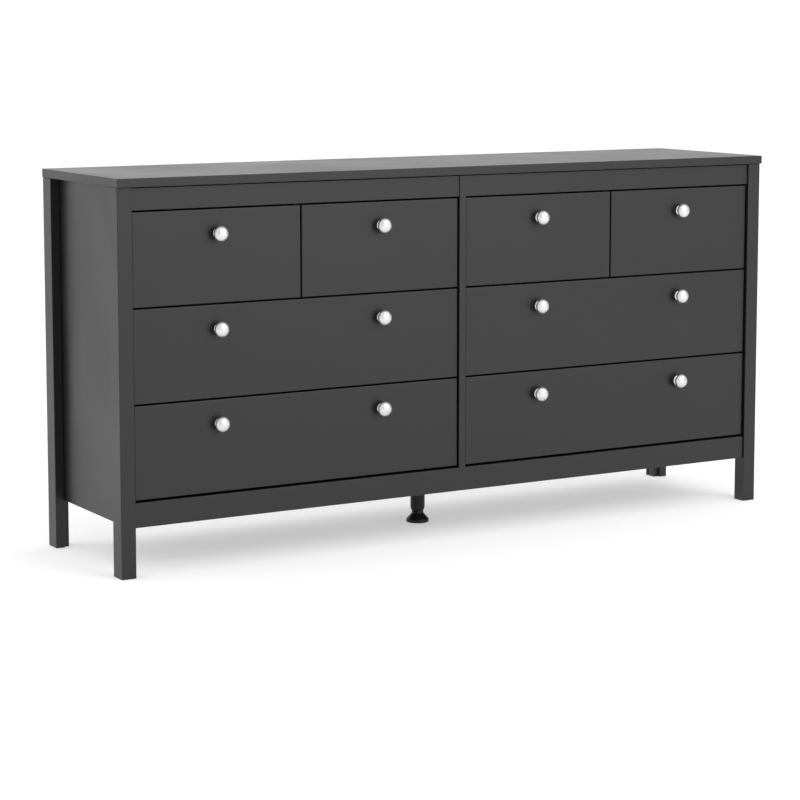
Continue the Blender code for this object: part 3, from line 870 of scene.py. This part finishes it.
drawers = [name for name in frame["bodies"] if "_drawer_" in name]
for body in drawers:
    kind, label = body.split("_drawer_")
    front_low, front_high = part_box(f"{kind}_front_{label}")
    wrap_low, wrap_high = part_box(f"{kind}_wrap_{label}")
    sheet_low, sheet_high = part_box(f"{kind}_bottom_{label}")
    groove_low = [value - GROOVE_GAP for value in sheet_low]
    groove_high = [value + GROOVE_GAP for value in sheet_high]

    front = block(f"{kind}_{label}_front_board", front_low, front_high)
    carve(front, groove_low, groove_high)
    round_edges(front, FRONT_ROUNDING)
    stand_for(front, f"{kind}_front_{label}", black_foil)

    wrap = block(f"{kind}_{label}_folded_sides", wrap_low, wrap_high)
    carve(
        wrap,
        (wrap_low.x + WRAP_THICKNESS, wrap_low.y - OVERCUT, wrap_low.z - OVERCUT),
        (wrap_high.x - WRAP_THICKNESS, wrap_high.y - WRAP_THICKNESS, wrap_high.z + OVERCUT),
    )
    carve(wrap, groove_low, groove_high)
    round_edges(wrap, WRAP_ROUNDING)
    stand_for(wrap, f"{kind}_wrap_{label}", wrap_foil)

    sheet = block(f"{kind}_{label}_bottom_sheet", sheet_low, sheet_high)
    round_edges(sheet, SHEET_ROUNDING, 2)
    stand_for(sheet, f"{kind}_bottom_{label}", bottom_paint)

    cams = []
    for side, face in ((-1, wrap_low.x), (1, wrap_high.x)):
        for height in CAM_HEIGHTS:
            cam = copy_of(cam_master, "cam_copy")
            place = (face, wrap_low.y + CAM_SETBACK, wrap_low.z + height)
            cams.append(turn_and_place(cam, (0, 90 * side, 0), place))
    cam_set = joined(f"{kind}_{label}_cam_locks", cams)
    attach(cam_set, body)
bpy.data.objects.remove(cam_master)

# ---------------------------------------------------------------- knobs
# Turned knobs with a broad domed head on a tapered neck, plated satin chrome. Each is held
# by a machine screw through the front, with a washer inside the drawer.
KNOB_HEAD = 16 * MM
KNOB_FOOT = 11 * MM
KNOB_NECK = 6.9 * MM
KNOB_LENGTH = 24.7 * MM
RIM_HEIGHT = 14 * MM
UNDERSIDE_DEPTH = 5.5 * MM
WASHER_RADIUS = 5.6 * MM
WASHER_THICKNESS = 1.05 * MM
WASHER_EDGE = 0.25 * MM

satin_chrome = metal_finish(
    "satin_chrome", (0.74, 0.74, 0.75), 0.36, grain_scale=900.0, variation=0.10, bump=0.02
)
knob_profile = [
    (KNOB_FOOT - 0.5 * MM, 0.0),
    (KNOB_FOOT, 0.5 * MM),
    (KNOB_FOOT, 1.6 * MM),
    (KNOB_FOOT - 0.7 * MM, 2.3 * MM),
    (KNOB_NECK + 1.9 * MM, 3.2 * MM),
    (KNOB_NECK + 0.7 * MM, 4.4 * MM),
    (KNOB_NECK, 6.2 * MM),
    (KNOB_NECK + 0.3 * MM, 7.6 * MM),
    (KNOB_NECK + 1.2 * MM, 8.6 * MM),
    *arc(KNOB_HEAD, UNDERSIDE_DEPTH, RIM_HEIGHT, -52, -8, 4),
    *arc(KNOB_HEAD, KNOB_LENGTH - RIM_HEIGHT, RIM_HEIGHT, 0, 86, 12),
]
knob_master = lathe("knob", knob_profile, 56)
turn_and_place(knob_master, (90, 0, 0), (0, 0, 0))
knob_master.data.materials.append(satin_chrome)
washer_profile = [
    (WASHER_RADIUS - 0.4 * MM, 0.0),
    (WASHER_RADIUS, WASHER_EDGE),
    (WASHER_RADIUS, WASHER_THICKNESS - WASHER_EDGE),
    (WASHER_RADIUS - 0.4 * MM, WASHER_THICKNESS),
]
washer_master = lathe("washer", washer_profile, 28)
turn_and_place(washer_master, (-90, 0, 0), (0, 0, 0))
washer_master.data.materials.append(zinc)
knob_screw_master = copy_of(screw_master, "knob_screw")
turn_and_place(knob_screw_master, (-90, 0, 0), (0, WASHER_THICKNESS, 0))
for body in drawers:
    kind, label = body.split("_drawer_")
    front_low, front_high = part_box(f"{kind}_front_{label}")
    held = []
    for node in frame["record"]["behaviour"]["bodies"][body]:
        if "_knob_" not in node:
            continue
        low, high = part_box(node)
        centre_x, centre_z = (low.x + high.x) / 2, (low.z + high.z) / 2
        knob = copy_of(knob_master, node.replace("_knob_", "_") + "_pull", (centre_x, high.y, centre_z))
        stand_for(knob, node)
        inside = (centre_x, front_high.y, centre_z)
        held.append(copy_of(washer_master, "washer_copy", inside))
        held.append(copy_of(knob_screw_master, "screw_copy", inside))
    fixings = joined(f"{kind}_{label}_knob_fixings", held)
    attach(fixings, body)
for master in (knob_master, washer_master, knob_screw_master):
    bpy.data.objects.remove(master)

# ---------------------------------------------------------------- runners
# Pressed steel roller runners, coated grey. A channel is screwed inside the cabinet, with a
# nylon roller at its front; an angle under each drawer side carries another at its rear.
RUNNER_LENGTH = 300 * MM
RUNNER_SETBACK = 1 * MM      # from the front end of the wrap
RUNNER_SPACE = 12.5 * MM
STEEL = 1.2 * MM
STEEL_ROUNDING = 0.4 * MM
CHANNEL_DEPTH = 9 * MM
CHANNEL_LOW = -2 * MM
CHANNEL_HIGH = 28 * MM
ANGLE_INSET = 4 * MM         # from the cabinet's side to the angle's lip
ANGLE_SHELF = 11 * MM        # how far the angle reaches under the drawer
LIP_HEIGHT = 22 * MM
ROLLER_WIDTH = 7 * MM
ROLLER_INSET = 2.5 * MM
ROLLER_PLAY = 0.1 * MM
FRONT_ROLLER_RADIUS = 7.6 * MM
FRONT_ROLLER_SETBACK = 12 * MM
REAR_ROLLER_RADIUS = 6.9 * MM
REAR_ROLLER_SETBACK = 14 * MM
SCREW_PLACES = (37 * MM, 128 * MM, 261 * MM)
SCREW_HEIGHT = 13 * MM

runner_coat = foil_finish(
    "runner_coat",
    (0.46, 0.46, 0.45),
    0.4,
    tone_change=0.1,
    rub_and_highlight=0.3,
    dust=0.03,
    rubbed_colour=(0.3, 0.3, 0.3),
    bump=0.15,
)
nylon = foil_finish("white_nylon", (0.72, 0.72, 0.69), 0.42, tone_change=0.06, rub_and_highlight=0.0, dust=0.02, bump=0.05)

channel = block("channel", (0, 0, CHANNEL_LOW), (CHANNEL_DEPTH, RUNNER_LENGTH, CHANNEL_HIGH))
carve(
    channel,
    (STEEL, -OVERCUT, CHANNEL_LOW + STEEL),
    (CHANNEL_DEPTH + OVERCUT, RUNNER_LENGTH + OVERCUT, CHANNEL_HIGH - STEEL),
)
angle_iron = block(
    "angle", (ANGLE_INSET, 0, -STEEL), (RUNNER_SPACE + ANGLE_SHELF, RUNNER_LENGTH, LIP_HEIGHT)
)
carve(
    angle_iron,
    (ANGLE_INSET - OVERCUT, -OVERCUT, -STEEL - OVERCUT),
    (RUNNER_SPACE - STEEL, RUNNER_LENGTH + OVERCUT, LIP_HEIGHT - STEEL),
)
carve(
    angle_iron,
    (RUNNER_SPACE, -OVERCUT, 0.0),
    (RUNNER_SPACE + ANGLE_SHELF + OVERCUT, RUNNER_LENGTH + OVERCUT, LIP_HEIGHT + OVERCUT),
)
for steel in (channel, angle_iron):
    round_edges(steel, STEEL_ROUNDING, 2)
    steel.data.materials.append(runner_coat)


def roller_shape(name, radius, setback, height):
    """A nylon roller along X, with a rounded tread and a sunk axle head, at its place in a runner."""
    profile = [
        (radius - 0.9 * MM, 0.0),
        (radius, 0.9 * MM),
        (radius, ROLLER_WIDTH - 0.9 * MM),
        (radius - 0.9 * MM, ROLLER_WIDTH),
        (radius - 2.6 * MM, ROLLER_WIDTH),
        (radius - 3.0 * MM, ROLLER_WIDTH - 0.8 * MM),
        (2.6 * MM, ROLLER_WIDTH - 0.8 * MM),
        (2.3 * MM, ROLLER_WIDTH - 0.1 * MM),
    ]
    roller = lathe(name, profile, 28)
    turn_and_place(roller, (0, 90, 0), (ROLLER_INSET, setback, height))
    roller.data.materials.append(nylon)
    return roller


front_roller = roller_shape(
    "front_roller",
    FRONT_ROLLER_RADIUS,
    FRONT_ROLLER_SETBACK,
    LIP_HEIGHT - STEEL - FRONT_ROLLER_RADIUS - ROLLER_PLAY,
)
rear_roller = roller_shape(
    "rear_roller",
    REAR_ROLLER_RADIUS,
    RUNNER_LENGTH - REAR_ROLLER_SETBACK,
    CHANNEL_LOW + STEEL + REAR_ROLLER_RADIUS + ROLLER_PLAY,
)
flat_profile = [(3.4 * MM, 0.0), (3.4 * MM, 0.25 * MM), (2.6 * MM, 0.45 * MM), (1.0 * MM, 0.5 * MM)]
flat_screw = lathe("flat_screw", flat_profile, 18)
turn_and_place(flat_screw, (0, 90, 0), (STEEL, 0, 0))
flat_screw.data.materials.append(zinc)


def handed(master, name, side, origin):
    """A copy for the drawer's left side (side 1) or, mirrored, for its right side (side -1)."""
    piece = copy_of(master, name)
    if side < 0:
        pick(piece)
        bpy.ops.mesh.customdata_custom_splitnormals_clear()
        bpy.ops.object.mode_set(mode="EDIT")
        bpy.ops.mesh.select_all(action="SELECT")
        bpy.ops.transform.resize(value=(-1.0, 1.0, 1.0), center_override=(0.0, 0.0, 0.0))
        bpy.ops.mesh.normals_make_consistent(inside=False)
        bpy.ops.object.mode_set(mode="OBJECT")
        bpy.ops.object.shade_smooth_by_angle(angle=math.radians(SMOOTH_ANGLE))
    piece.data.transform(Matrix.Translation(origin))
    return piece


for body in drawers:
    kind, label = body.split("_drawer_")
    wrap_low, wrap_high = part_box(f"{kind}_wrap_{label}")
    faces = ((1, "left", wrap_low.x - RUNNER_SPACE), (-1, "right", wrap_high.x + RUNNER_SPACE))
    for side, hand, face in faces:
        origin = Vector((face, wrap_low.y + RUNNER_SETBACK, wrap_low.z))
        name = f"{kind}_{label}_{hand}"
        fixed = handed(channel, f"{name}_channel", side, origin)
        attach(fixed, "cabinet")
        moving = handed(angle_iron, f"{name}_angle", side, origin)
        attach(moving, body)
        wheel = handed(front_roller, f"{name}_front_roller", side, origin)
        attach(wheel, "cabinet")
        wheel = handed(rear_roller, f"{name}_rear_roller", side, origin)
        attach(wheel, body)
        heads = []
        for along in SCREW_PLACES:
            spot = origin + Vector((0.0, along, SCREW_HEIGHT))
            heads.append(handed(flat_screw, "head", side, spot))
        head_set = joined(f"{name}_channel_screws", heads)
        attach(head_set, "cabinet")
for master in (channel, angle_iron, front_roller, rear_roller, flat_screw, screw_master):
    bpy.data.objects.remove(master)
